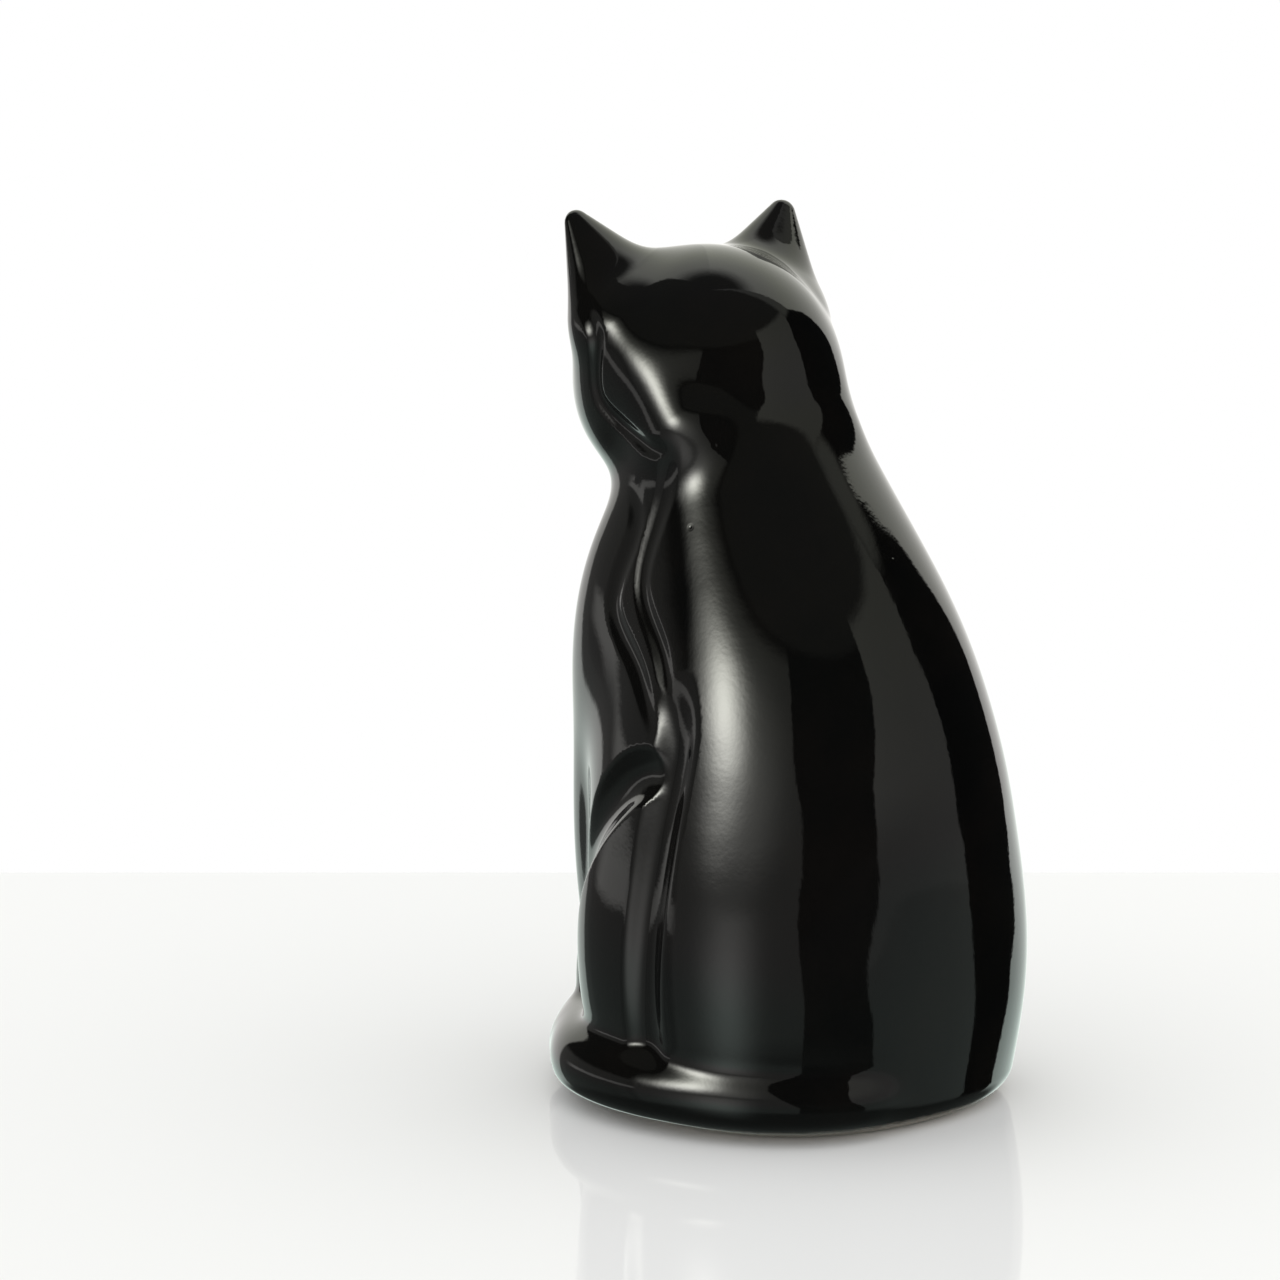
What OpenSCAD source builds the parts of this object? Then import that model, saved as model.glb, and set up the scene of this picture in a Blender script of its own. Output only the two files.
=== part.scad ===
// Seated ceramic cat, hollow cast, tail wrapped along its left side.
// The cat faces -Y and its left side is +X. Z = 0 is the table, and the origin is under the
// middle of the whole outline, tail and back included.

/* [Casting] */
// Nominal wall thickness of the hollow castings
wall = 5; // [4:0.5:7]
// Height of the glazed foot edge above the table
foot_gap = 0.6; // [0.3:0.1:1.2]
// Radius of the rounded bottom edge of the body
foot_round = 8; // [5:0.5:9]
// Height at which the head casting is joined to the body casting
neck_z = 192; // [189:0.5:196]

/* [Head and ears] */
// Turn of the head about the vertical, in degrees, minus is towards the right shoulder
head_turn = -15; // [-20:1:-5]
// Tilt of the head, in degrees
head_tilt = 4; // [0:1:8]
// Half width of an ear at its root
ear_root = 21; // [19:0.5:22]
// Radius of the ear tip
ear_tip = 4.3; // [3.5:0.1:6]

/* [Tail] */
// Thickest radius of the tail roll
tail_r = 12.5; // [11:0.5:13]

/* [Base and filling hole] */
// Thickness of the luted base slab
slab_t = 6; // [5:0.5:8]
// Diameter of the filling hole
hole_d = 28; // [22:1:32]
// Diameter of the counterbore for the stopper flange
flange_seat_d = 37; // [35:0.5:42]
// Depth of the counterbore
flange_seat_h = 3; // [2.6:0.1:3.5]
// Radial gap between the stopper and the hole
stopper_gap = 0.2; // [0.1:0.05:0.4]
// Length of the stopper plug above its flange
plug_len = 9; // [7:0.5:12]

/* [Felt pads] */
// Diameter of a felt pad
pad_d = 12; // [10:0.5:14]
// Thickness of a felt pad
pad_t = 2; // [1.6:0.1:2.4]

/* [Resolution] */
// Points around the body
n_body = 64; // [48:4:80]
// Points around the head
n_head = 64; // [48:4:72]

/* [Hidden] */

// trunk sections, one every SECTION_STEP of height: back, front and half width
SECTION_STEP = 30;
BACK  = [69, 71.5, 72.5, 73, 67, 55.5, 34, 9.5, -5, -12];
FRONT = [-44, -46, -48.5, -53.5, -56.5, -55, -58, -48, -48, -50];
SIDE  = [62, 64.5, 65.5, 63, 57, 49.5, 41, 33.5, 31, 28];
TRUNK_POWER = 2.2;                   // 2 is an ellipse, more is squarer
TRUNK_TOP = 232;                     // where the trunk ends, inside the head

HEAD_C = [-2.9, -40.2, 219];
SHIFT = [-2.7, 6.1, 0];              // from the body's own axis to the middle of the outline
SEAT_IN = 11.5;                      // how far the base slab lies inside the body outline
SEAT_FRONT = 37;                     // how far it reaches forward of the filling hole, behind the paws
PADS = [[26, -16], [-26, -16], [29, 35], [-29, 35]];
HOLE = [0, 6];

// soft folds of the nape, flank, elbow, knee and cheek: points, with the depth of the fold at each
NAPE  = [[39, -8, 206, 0], [40, -10, 186, 0.8], [45, -12, 160, 0.9], [50, 3, 140, 1], [55, 15, 116, 0]];
FLANK = [[50, 8, 136, 0], [54, 14, 117, 2.7], [61, 13, 88, 3.4], [66, 12, 50, 3.2], [66, 13, 22, 2]];
ELBOW = [[39, -25, 190, 0], [43, -20, 176, 0.8], [47, -24, 152, 0.9], [52, -6, 134, 0.9], [56, 10, 112, 0]];
KNEE  = [[57, 12, 106, 1.8], [59, 1, 105, 4], [60, -9, 99, 5.2], [59, -20, 88, 5.5], [56, -30, 72, 5],
         [53, -36, 54, 5], [51, -42, 32, 3]];
JOWL  = [[38, -49, 243, 0], [39, -40, 232, 1], [37, -39, 213, 1.2], [38, -20, 202, 1.1], [38, -6, 200, 0]];

// the tail's centre line and how its radius varies
TAIL  = [[4,54,12], [26,58,12], [48,43,12.5], [60,12,12.5], [58,-18,12.5], [42,-41,12.5],
         [21,-60,12], [-1,-69,11], [-20,-68,9.5]];
TAILR = [.72, .88, .96, 1, 1, .96, .92, .84, .68];

// ---- blended solids, each a signed distance, negative inside ----
function smin(a, b, k) = let (h = max(k - abs(a - b), 0) / k) min(a, b) - h * h * h * k / 6;
function smax(a, b, k) = -smin(-a, -b, k);
function spl(P, z) =
    let (n = len(P), u = max(0, min(z / SECTION_STEP, n - 1.0001)), i = floor(u), t = u - i,
         p0 = i == 0 ? 2 * P[0] - P[1] : P[i - 1], p1 = P[i], p2 = P[i + 1],
         p3 = i + 2 < n ? P[i + 2] : 2 * P[n - 1] - P[n - 2])
    (pow(1 - t, 3) * p0 + (3 * t * t * t - 6 * t * t + 4) * p1
     + (-3 * t * t * t + 3 * t * t + 3 * t + 1) * p2 + t * t * t * p3) / 6;
function egg(p, c, r) =
    let (x = (p[0] - c[0]) / r[0], y = (p[1] - c[1]) / r[1], z = (p[2] - c[2]) / r[2],
         k0 = norm([x, y, z]), k1 = norm([x / r[0], y / r[1], z / r[2]]) + 1e-6)
    k0 * (k0 - 1) / k1;
function turn_x(p, a) = [p[0], p[1] * cos(a) + p[2] * sin(a), p[2] * cos(a) - p[1] * sin(a)];
function turn_z(p, a) = [p[0] * cos(a) + p[1] * sin(a), p[1] * cos(a) - p[0] * sin(a), p[2]];
function flip(p, s) = [s * p[0], p[1], p[2]];

function trunk(p) =
    let (yb = spl(BACK, p[2]), yf = spl(FRONT, p[2]), b = spl(SIDE, p[2]), a = (yb - yf) / 2,
         u = abs(p[0] / b), v = abs((p[1] - (yb + yf) / 2) / a),
         q = pow(pow(u, TRUNK_POWER) + pow(v, TRUNK_POWER), 1 / TRUNK_POWER))
    smax((q - 1) * min(a, b) * 0.93, p[2] - TRUNK_TOP, 40);
function limbs(f, q) =
    let (f1 = smin(f, egg(q, [30, 10, 42], [33, 49, 54]), 24),
         f2 = smin(f1, egg(turn_x(q - [47.5, -8.5, 46], 6), [0, 0, 0], [16.5, 22, 46]), 10),
         f3 = smin(f2, egg(q, [38, -30, 9], [15, 28, 12]), 8),
         f4 = smin(f3, egg(q, [27, -31, 135], [18, 26, 46]), 14),
         f5 = smin(f4, egg(q, [22, -46, 85], [16, 17, 70]), 14),
         f6 = smin(f5, egg(q, [21, -49, 28], [14, 15, 26]), 9))
    smin(f6, egg(q, [17, -50, 11], [13, 17, 13]), 9);
function to_head(p) = turn_x(turn_z(p - HEAD_C, head_turn), head_tilt);
// a round bar from a to b
function roll(p, a, b, r) = let (t = max(0, min(1, (p - a) * (b - a) / ((b - a) * (b - a)))))
    norm(p - a - t * (b - a)) - r;
function half_face(h, q, r) =
    let (h1 = smin(smin(h, egg(q, [19, -3, -11], [16, 20, 18]), 12), egg(q, [28, 3, -5], [12, 15, 20]), 7))
    smin(h1, roll(q, [24.5, 7.5, 12], [16.5, 29.5, -16], r), 6);
function pad_and_eye(h, q) =
    let (e = turn_z(q - [17.5, -44, 6.5], -24), g = turn_z(q - [17, -29.4, 6.5], -24),
         h1 = smin(h, egg(q, [6.5, -36, -9.5], [8.5, 8.5, 6.5]), 4))
    smin(smax(h1, -egg(e, [0, 0, 0], [13, 8.5, 9]), 9), egg(g, [0, 0, 0], [9, 5.5, 6]), 4);
function skull(q) =
    let (h1 = egg(q, [0, 4, 0], [40, 43, 38]),
         h2 = half_face(half_face(h1, q, 17), flip(q, -1), 14.5),
         h3 = smin(h2, egg(q, [0, -28, -8], [15, 15, 10]), 12),
         h4 = smin(h3, egg(q, [0, -31, -15], [11, 11, 8]), 8),
         h5 = smin(h4, egg(turn_x(q - [0, -35, 4], 38), [0, 0, 0], [6, 12, 7]), 10),
         h6 = smin(h5, egg(q, [0, -41, -3], [4.6, 4.2, 3.4]), 3))
    pad_and_eye(pad_and_eye(h6, q), flip(q, -1));
function fold_at(p, a, b, w) =
    let (A = [a[0], a[1], a[2]], d = [b[0], b[1], b[2]] - A,
         t = max(0, min(1, ((p - A) * d) / (d * d))), q = norm(p - A - t * d) / w)
    q >= 1 ? 0 : (a[3] + (b[3] - a[3]) * t) * pow(1 - q * q, 2);
function fold(p, P, w) = max([for (i = [0:len(P) - 2]) fold_at(p, P[i], P[i + 1], w)]);
function knot(P, i) = i < 0 ? 2 * P[0] - P[1] : i >= len(P) ? 2 * P[len(P) - 1] - P[len(P) - 2] : P[i];
function between(P, u) =
    let (i = min(floor(u), len(P) - 2), t = u - i,
         a = knot(P, i - 1), b = knot(P, i), c = knot(P, i + 1), d = knot(P, i + 2))
    0.5 * (2 * b + (c - a) * t + (2 * a - 5 * b + 4 * c - d) * t * t
           + (3 * b - a - 3 * c + d) * t * t * t);
// a smooth curve through the points of P, as short straight pieces
function smooth(P) = [for (i = [0:2 * (len(P) - 1)]) between(P, i / 2)];
NAPE_LINE = smooth(NAPE);
FLANK_LINE = smooth(FLANK);
ELBOW_LINE = smooth(ELBOW);
KNEE_LINE = smooth(KNEE);
JOWL_LINE = smooth(JOWL);
// each fold is worked out only at the heights that it reaches
function folds(q) = q[0] < 16 ? 0
    : pow((q[2] < 146 ? pow(fold(q, FLANK_LINE, 10), 4) + pow(fold(q, KNEE_LINE, 10), 4) : 0)
          + (q[2] > 107 ? pow(fold(q, NAPE_LINE, 5), 4) + pow(fold(q, ELBOW_LINE, 5), 4) : 0)
          + (q[2] > 190 ? pow(fold(q, JOWL_LINE, 4.5), 4) : 0), 0.25);
function open_field(p) =
    let (t = smin(trunk(p), egg(p, [0, -42, 6], [30, 21, 14]), 10),
         f = limbs(limbs(t, p), flip(p, -1)),
         g = p[2] > 150 ? smin(f, skull(to_head(p)), 16) : f)
    g + folds([abs(p[0]), p[1], p[2]]);
// how far the outline draws in at height h above the foot, for a round bottom edge
function draw_in(h) = h >= foot_round ? 0
    : foot_round - sqrt(foot_round * foot_round - pow(foot_round - h, 2));

// ear axis in the head's frame: root, tip, and the three directions
EAR_A = [21.5, -2, 16];
EAR_B = [35.5, -9.5, 45.5];
EAR_L = norm(EAR_B - EAR_A);
EAR_Z = (EAR_B - EAR_A) / EAR_L;
EAR_Y0 = [-0.35, 1, 0] - EAR_Z * ([-0.35, 1, 0] * EAR_Z);
EAR_Y = EAR_Y0 / norm(EAR_Y0);
EAR_X = cross(EAR_Y, EAR_Z);
EAR_S = (ear_root - ear_tip) / EAR_L;
EAR_K = sqrt(1 - EAR_S * EAR_S);
function ear_field(q) =
    let (r = norm([q[0], q[1] * 1.35]), k = q[2] * EAR_K - r * EAR_S,
         c = k < 0 ? norm([r, q[2]]) - ear_root
             : k > EAR_K * EAR_L ? norm([r, q[2] - EAR_L]) - ear_tip
             : r * EAR_K + q[2] * EAR_S - ear_root)
    smax(c / 1.15, -egg(q, [0, -17.5, 10], [10, 9, 14]), 6);
function ear_to_part(q, s) =
    let (h = flip(EAR_A + q[0] * EAR_X + q[1] * EAR_Y + q[2] * EAR_Z, s))
    HEAD_C + turn_z(turn_x(h, -head_tilt), -head_turn);

// ---- where a ray from O along d meets the surface ----
// rays end this far out, beyond the widest part of the body, the head and an ear
BODY_REACH = 105;
HEAD_REACH = 80;
EAR_REACH = 40;
function field(m, p) = m == 0 ? open_field(p) : ear_field(p);
function meet(m, O, d, off, a, fa, b, fb, k) =
    let (c = (a * fb - b * fa) / (fb - fa))
    k == 0 || abs(fb) < 0.004 ? c
    : let (fc = field(m, O + c * d) + off)
      fc * fb < 0 ? meet(m, O, d, off, b, fb, c, fc, k - 1) : meet(m, O, d, off, a, fa / 2, c, fc, k - 1);
function ring(m, O, e, off, n, far) =
    let (f0 = field(m, O) + off)
    [for (i = [0:n - 1]) let (a = 360 * i / n, d = [cos(a) * cos(e), sin(a) * cos(e), sin(e)])
        O + d * meet(m, O, d, off, 0, f0, far, field(m, O + far * d) + off, 9)];

// ---- skins from rings of points ----
function idx(r, i, n) = r * n + i % n;
function band(r, s, n) = [for (i = [0:n - 1]) each [[idx(r, i + 1, n), idx(r, i, n), idx(s, i, n)],
                                                    [idx(r, i + 1, n), idx(s, i, n), idx(s, i + 1, n)]]];
function flat(R) = [for (r = R) each r];
function mid(R) = let (s = [for (k = [0:2]) [for (p = R) p[k]]])
    [for (k = [0:2]) s[k] * [for (p = R) 1] / len(R)];
// closed all round: the last ring meets the first again
module loop_skin(R) {
    n = len(R[0]);
    polyhedron(flat(R), [for (k = [0:len(R) - 1]) each band(k, (k + 1) % len(R), n)], 12);
}
// closed by a fan at each end
module capped_skin(R, first, last) {
    n = len(R[0]);
    m = len(R);
    polyhedron(concat(flat(R), [first, last]),
        concat([for (k = [0:m - 2]) each band(k, k + 1, n)],
               [for (i = [0:n - 1]) [idx(0, i, n), idx(0, i + 1, n), m * n]],
               [for (i = [0:n - 1]) [idx(m - 1, i + 1, n), idx(m - 1, i, n), m * n + 1]]), 12);
}

// ---- body casting ----
function axis_y(z) = z < 40 ? 6 : (spl(BACK, z) + spl(FRONT, z)) / 2;
LOW_Z = [for (z = [0, 0.25, 0.9, 2, 3.6, 6, 9, 13, 17.5, 22.5, 28, 34]) foot_gap + z];
HIGH_STEPS = 25;
HIGH_Z = [for (i = [0:HIGH_STEPS]) 41 + (neck_z - 41) * i / HIGH_STEPS];
function outer_ring(z) = ring(0, [0, z > 150 ? axis_y(z) - 4 : axis_y(z), z], 0,
    draw_in(z - foot_gap), n_body, BODY_REACH);
function inner_ring(z, off) = ring(0, [0, axis_y(z), z], 0, off, n_body, BODY_REACH);
function seat_outline() = [for (p = ring(0, [0, 6, foot_gap + 6], 0, SEAT_IN, n_body, BODY_REACH))
    let (k = p[1] < 6 ? min(1, SEAT_FRONT / (6 - p[1])) : 1) [p[0] * k, 6 + (p[1] - 6) * k]];
function lift(P, z) = [for (p = P) [p[0], p[1], z]];
CAVITY_Z = 14;                       // where the hollow of the body begins
INNER_STEPS = 15;
INNER_Z = [for (i = [0:INNER_STEPS]) CAVITY_Z + (neck_z - CAVITY_Z) * i / INNER_STEPS];

module torso_shell() {
    seat = seat_outline();
    outer = [for (z = concat(LOW_Z, HIGH_Z)) outer_ring(z)];
    inner = [for (i = [INNER_STEPS:-1:0]) inner_ring(INNER_Z[i], wall + (i == 0 ? 2 : 0))];
    color("black") loop_skin(concat(outer, inner,
        [lift(seat, foot_gap + slab_t), lift(seat, foot_gap)]));
}
module foot_solid() {
    R = [for (z = concat(LOW_Z, [HIGH_Z[0]])) outer_ring(z)];
    capped_skin(R, mid(R[0]), mid(R[len(R) - 1]));
}

// ---- head casting ----
HEAD_STEPS = 28;
HEAD_INNER_STEPS = 10;
NECK_O = [-1, -26, neck_z];
TOP_O = [-2, -38, 224];
function head_o(t) = let (s = min(1, t * 2.5), q = s * s * (3 - 2 * s)) NECK_O + (TOP_O - NECK_O) * q;
function head_rings(off, steps) = [for (i = [0:steps - 1]) let (t = i / steps)
    ring(0, head_o(t), 90 * t, off, n_head, HEAD_REACH)];
function head_pole(off) = ring(0, TOP_O, 90, off, 1, HEAD_REACH)[0];

module head_shell() {
    n = n_head;
    outer = head_rings(0, HEAD_STEPS);
    upward = head_rings(wall, HEAD_INNER_STEPS);
    inner = [for (i = [HEAD_INNER_STEPS - 1:-1:0]) upward[i]];
    a = HEAD_STEPS;
    last = a + HEAD_INNER_STEPS - 1;
    pts = concat(flat(outer), flat(inner), [head_pole(0), head_pole(wall)]);
    P = (last + 1) * n;
    color("black") polyhedron(pts, concat(
        [for (k = [0:a - 2]) each band(k, k + 1, n)],
        [for (i = [0:n - 1]) [idx(a - 1, i + 1, n), idx(a - 1, i, n), P]],
        [for (i = [0:n - 1]) [P + 1, idx(a, i, n), idx(a, i + 1, n)]],
        [for (k = [a:last - 1]) each band(k, k + 1, n)],
        band(last, 0, n)), 12);
}
module head_solid() {
    outer = head_rings(0, HEAD_STEPS);
    capped_skin(outer, mid(outer[0]), head_pole(0));
}

// ---- ears, luted onto the head ----
EAR_SIDES = 24;
function ear_rings() = [for (z = [-16, -9, -2, 4, 10, 16, 22, 27, 31])
        ring(1, [0, 2.5 - max(0, z - 20) * 0.2, z], 0, 0, EAR_SIDES, EAR_REACH),
    for (e = [10, 35, 58, 76]) ring(1, [0, 0, EAR_L - 0.5], e, 0, EAR_SIDES, EAR_REACH)];
module ear(s) {
    R = [for (r = ear_rings()) [for (p = r) ear_to_part(p, s)]];
    tip = ear_to_part(ring(1, [0, 0, EAR_L - 0.5], 90, 0, 1, EAR_REACH)[0], s);
    root = ear_to_part([0, 2.5, -16], s);
    // the mirrored ear's rings run the other way round
    Q = s > 0 ? R : [for (r = R) [for (i = [len(r) - 1:-1:0]) r[i]]];
    color("black") difference() {
        capped_skin(Q, root, tip);
        head_solid();
    }
}
module left_ear() { ear(1); }
module right_ear() { ear(-1); }

// ---- tail, a roll swept along its centre line and luted against the body ----
TAIL_SIDES = 20;
function tail_ring(c, d, r) =
    let (u = d / norm(d), s = cross(u, [0, 0, 1]), sn = s / norm(s), up = cross(sn, u))
    [for (i = [0:TAIL_SIDES - 1]) let (a = 360 * i / TAIL_SIDES, p = c + r * (cos(a) * sn + sin(a) * up))
        [p[0], p[1], max(foot_gap, p[2])]];
module tail() {
    steps = 32;
    last = len(TAIL) - 1;
    tip = TAIL[last];
    dir = (between(TAIL, last) - between(TAIL, last - 0.05)) * 20;
    dn = dir / norm(dir);
    rt = tail_r * TAILR[last];
    R = concat(
        [for (i = [0:steps]) let (u = last * i / steps,
            d = between(TAIL, min(last, u + 0.05)) - between(TAIL, max(0, u - 0.05)))
            tail_ring(between(TAIL, u), d, tail_r * between(TAILR, u))],
        [for (a = [20, 40, 60, 78]) tail_ring(tip + dn * rt * sin(a), dn, rt * cos(a))]);
    color("black") difference() {
        capped_skin([for (r = R) [for (i = [TAIL_SIDES - 1:-1:0]) r[i]]], TAIL[0], tip + dn * rt);
        foot_solid();
    }
}

// ---- base slab with the filling hole and the four pad recesses ----
module base_slab() {
    color("gainsboro") difference() {
        translate([0, 0, foot_gap]) linear_extrude(slab_t) polygon(seat_outline());
        translate([HOLE[0], HOLE[1], foot_gap - 1]) cylinder(d = hole_d, h = slab_t + 2, $fn = 64);
        translate([HOLE[0], HOLE[1], foot_gap - 1])
            cylinder(d = flange_seat_d, h = flange_seat_h + 1, $fn = 64);
        for (p = PADS) translate([p[0], p[1], foot_gap - 1])
            cylinder(d = pad_d, h = pad_t - foot_gap + 1, $fn = 48);
    }
}

// ---- rubber stopper: a flange with a shallow finger recess, and a hollow plug with a tapered end ----
module stopper() {
    z0 = foot_gap + 0.5;
    zf = foot_gap + flange_seat_h;
    rp = hole_d / 2 - stopper_gap;
    rf = flange_seat_d / 2 - stopper_gap - 0.3;
    color("dimgray") translate([HOLE[0], HOLE[1], 0]) rotate_extrude($fn = 64)
        polygon([[0, z0 + 1.2], [5, z0 + 1.2], [6, z0], [rf - 0.5, z0], [rf, z0 + 0.5], [rf, zf],
                 [rp, zf], [rp, zf + plug_len - 5], [rp - 1.2, zf + plug_len],
                 [rp - 3.4, zf + plug_len], [rp - 4, zf + 2], [0, zf + 2]]);
}

module pad(p) {
    color("darkgray") translate([p[0], p[1], 0]) cylinder(d = pad_d, h = pad_t, $fn = 48);
}
module pad_front_left() { pad(PADS[0]); }
module pad_front_right() { pad(PADS[1]); }
module pad_rear_left() { pad(PADS[2]); }
module pad_rear_right() { pad(PADS[3]); }

translate(SHIFT) {
    torso_shell();
    head_shell();
    left_ear();
    right_ear();
    tail();
    base_slab();
    stopper();
    pad_front_left();
    pad_front_right();
    pad_rear_left();
    pad_rear_right();
}
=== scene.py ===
import math

import bpy
import numpy as np
import openvdb
from mathutils import Matrix, Vector


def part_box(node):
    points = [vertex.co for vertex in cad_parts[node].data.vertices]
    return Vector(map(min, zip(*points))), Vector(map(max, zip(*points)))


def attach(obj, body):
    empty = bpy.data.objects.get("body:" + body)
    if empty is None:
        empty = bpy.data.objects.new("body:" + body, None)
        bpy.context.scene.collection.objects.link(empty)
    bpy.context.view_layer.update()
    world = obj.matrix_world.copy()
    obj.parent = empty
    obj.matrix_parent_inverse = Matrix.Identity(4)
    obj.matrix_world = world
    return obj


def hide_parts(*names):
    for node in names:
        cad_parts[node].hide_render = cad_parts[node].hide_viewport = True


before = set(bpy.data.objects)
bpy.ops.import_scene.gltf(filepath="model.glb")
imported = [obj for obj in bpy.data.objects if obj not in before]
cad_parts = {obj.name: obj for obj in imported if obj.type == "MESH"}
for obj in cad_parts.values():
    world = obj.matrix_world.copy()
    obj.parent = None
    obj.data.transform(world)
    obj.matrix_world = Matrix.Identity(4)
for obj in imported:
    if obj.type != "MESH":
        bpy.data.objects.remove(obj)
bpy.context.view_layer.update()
MM = 0.001
FAR = 50.0             # a distance in mm that counts as outside every cut


# ---------------------------------------------------------------- the cat's surface, in mm
def spl(P, z):
    """uniform cubic B-spline that follows one control value for each SECTION_STEP of height"""
    P = np.asarray(P, np.float32)
    n = len(P)
    u = np.clip(z / SECTION_STEP, 0, n - 1.0001)
    i = np.floor(u).astype(int)
    t = (u - i).astype(np.float32)
    Q = np.concatenate([[2 * P[0] - P[1]], P, [2 * P[-1] - P[-2]]]).astype(np.float32)
    return ((1 - t) ** 3 * Q[i] + (3 * t ** 3 - 6 * t * t + 4) * Q[i + 1]
            + (-3 * t ** 3 + 3 * t * t + 3 * t + 1) * Q[i + 2] + t ** 3 * Q[np.minimum(i + 3, n + 1)]) / 6


def smin(a, b, k):
    h = np.maximum(k - np.abs(a - b), 0) / k
    return np.minimum(a, b) - h * h * h * (k / 6)


def smax(a, b, k):
    return -smin(-a, -b, k)


def round_edge(a, b, r):
    return np.where((a > -r) & (b > -r),
                    np.hypot(np.maximum(a + r, 0), np.maximum(b + r, 0)) - r, np.maximum(a, b))


def turn_x(q, deg):
    c, s = math.cos(math.radians(deg)), math.sin(math.radians(deg))
    return (q[0], q[1] * c + q[2] * s, q[2] * c - q[1] * s)


def turn_z(q, deg):
    c, s = math.cos(math.radians(deg)), math.sin(math.radians(deg))
    return (q[0] * c + q[1] * s, q[1] * c - q[0] * s, q[2])


def off(q, c):
    return (q[0] - c[0], q[1] - c[1], q[2] - c[2])


def egg(q, c, r):
    x, y, z = (q[0] - c[0]) / r[0], (q[1] - c[1]) / r[1], (q[2] - c[2]) / r[2]
    k0 = np.sqrt(x * x + y * y + z * z)
    k1 = np.sqrt((x / r[0]) ** 2 + (y / r[1]) ** 2 + (z / r[2]) ** 2) + 1e-6
    return k0 * (k0 - 1) / k1


SECTION_STEP = 30      # height between two sections of the trunk
TRUNK_POWER = 2.2      # a little squarer than an ellipse
TRUNK_TOP = 232
BACK = [69, 71.5, 72.5, 73, 67, 55.5, 34, 9.5, -5, -12]
FRONT = [-44, -46, -48.5, -53.5, -56.5, -55, -58, -48, -48, -50]
SIDE = [62, 64.5, 65.5, 63, 57, 49.5, 41, 33.5, 31, 28]
HEAD_C = (-2.9, -40.2, 219)
HEAD_TURN, HEAD_TILT = -15, 4
TAIL = [(4, 54, 12), (26, 58, 12), (48, 43, 12.5), (60, 12, 12.5), (58, -18, 12.5), (42, -41, 12.5),
        (21, -60, 12), (-1, -69, 11), (-20, -68, 9.5)]
TAIL_R = [9, 11, 12, 12.5, 12.5, 12, 11.5, 10.5, 8.5]
# soft folds, each with its half width: points that give x, y, z and the fold's depth there. Their places were
# measured in the photograph, not designed freely.
NAPE = [(39, -8, 206, 0), (40, -10, 186, 0.8), (45, -12, 160, 0.9), (50, 3, 140, 1), (55, 15, 116, 0)]
FLANK = [(50, 8, 136, 0), (54, 14, 117, 2.7), (61, 13, 88, 3.4), (66, 12, 50, 3.2), (66, 13, 22, 2)]
ELBOW = [(39, -25, 190, 0), (43, -20, 176, 0.8), (47, -24, 152, 0.9), (52, -6, 134, 0.9), (56, 10, 112, 0)]
KNEE = [(57, 12, 106, 1.8), (59, 1, 105, 4), (60, -9, 99, 5.2), (59, -20, 88, 5.5), (56, -30, 72, 5),
        (53, -36, 54, 5), (51, -42, 32, 3)]
JOWL = [(38, -49, 243, 0), (39, -40, 232, 1), (37, -39, 213, 1.2), (38, -20, 202, 1.1), (38, -6, 200, 0)]
FOLDS = [(NAPE, 5), (FLANK, 10), (ELBOW, 5), (KNEE, 10), (JOWL, 4.5)]


def catmull(P, m):
    P = np.asarray(P, float)
    Q = np.vstack([2 * P[0] - P[1], P, 2 * P[-1] - P[-2]])
    out = []
    for i in range(len(P) - 1):
        a, b, c, d = Q[i:i + 4]
        for t in np.arange(m) / m:
            out.append(0.5 * (2 * b + (c - a) * t + (2 * a - 5 * b + 4 * c - d) * t * t
                              + (3 * b - a - 3 * c + d) * t ** 3))
    out.append(P[-1])
    return np.array(out)


def along(q, a, b):
    d = b[:3] - a[:3]
    t = np.clip(((q[0] - a[0]) * d[0] + (q[1] - a[1]) * d[1] + (q[2] - a[2]) * d[2]) / (d @ d), 0, 1)
    r2 = (q[0] - a[0] - t * d[0]) ** 2 + (q[1] - a[1] - t * d[1]) ** 2 + (q[2] - a[2] - t * d[2]) ** 2
    return t, r2


STEPS = 6              # straight pieces in each span of a curve, to start the search for the nearest place


def curve(K):
    """a smooth curve through the points K, each x, y, z and a value, given as a polyline and as the cubic of
    each span"""
    K = np.asarray(K, float)
    E = np.vstack([2 * K[0] - K[1], K, 2 * K[-1] - K[-2]])
    a, b, c, d = E[:-3], E[1:-2], E[2:-1], E[3:]
    parts = np.stack([b, (c - a) / 2, a - 2.5 * b + 2 * c - d / 2, (3 * b - a - 3 * c + d) / 2])
    return catmull(K, STEPS), parts.astype(np.float32)


def near_curve(q, line, parts):
    """the squared distance from each point to the curve, and the curve's value at that place"""
    best, where = None, None
    for k, (a, b) in enumerate(zip(line[:-1], line[1:])):
        t, r2 = along(q, a, b)
        if best is None:
            best, where = r2, (k + t) / STEPS
        else:
            where = np.where(r2 < best, (k + t) / STEPS, where)
            best = np.minimum(best, r2)
    p, last = np.stack(q, 1), parts.shape[1]
    for _ in range(3):
        i = np.minimum(where.astype(int), last - 1)
        t = (where - i).astype(np.float32)[:, None]
        c = parts[:, i]
        here = c[0] + t * (c[1] + t * (c[2] + t * c[3]))
        run = (c[1] + t * (2 * c[2] + 3 * t * c[3]))[:, :3]
        gap = p - here[:, :3]
        where = np.clip(where + (gap * run).sum(1) / ((run ** 2).sum(1) + 1e-6), 0, last)
    return (gap ** 2).sum(1), here[:, 3]


TAIL_CURVE = curve(np.column_stack([TAIL, TAIL_R]))
FOLD_LINES = [(curve(p), w) for p, w in FOLDS]


def tail_d(q):
    r2, r = near_curve(q, *TAIL_CURVE)
    return np.sqrt(r2) - r


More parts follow.
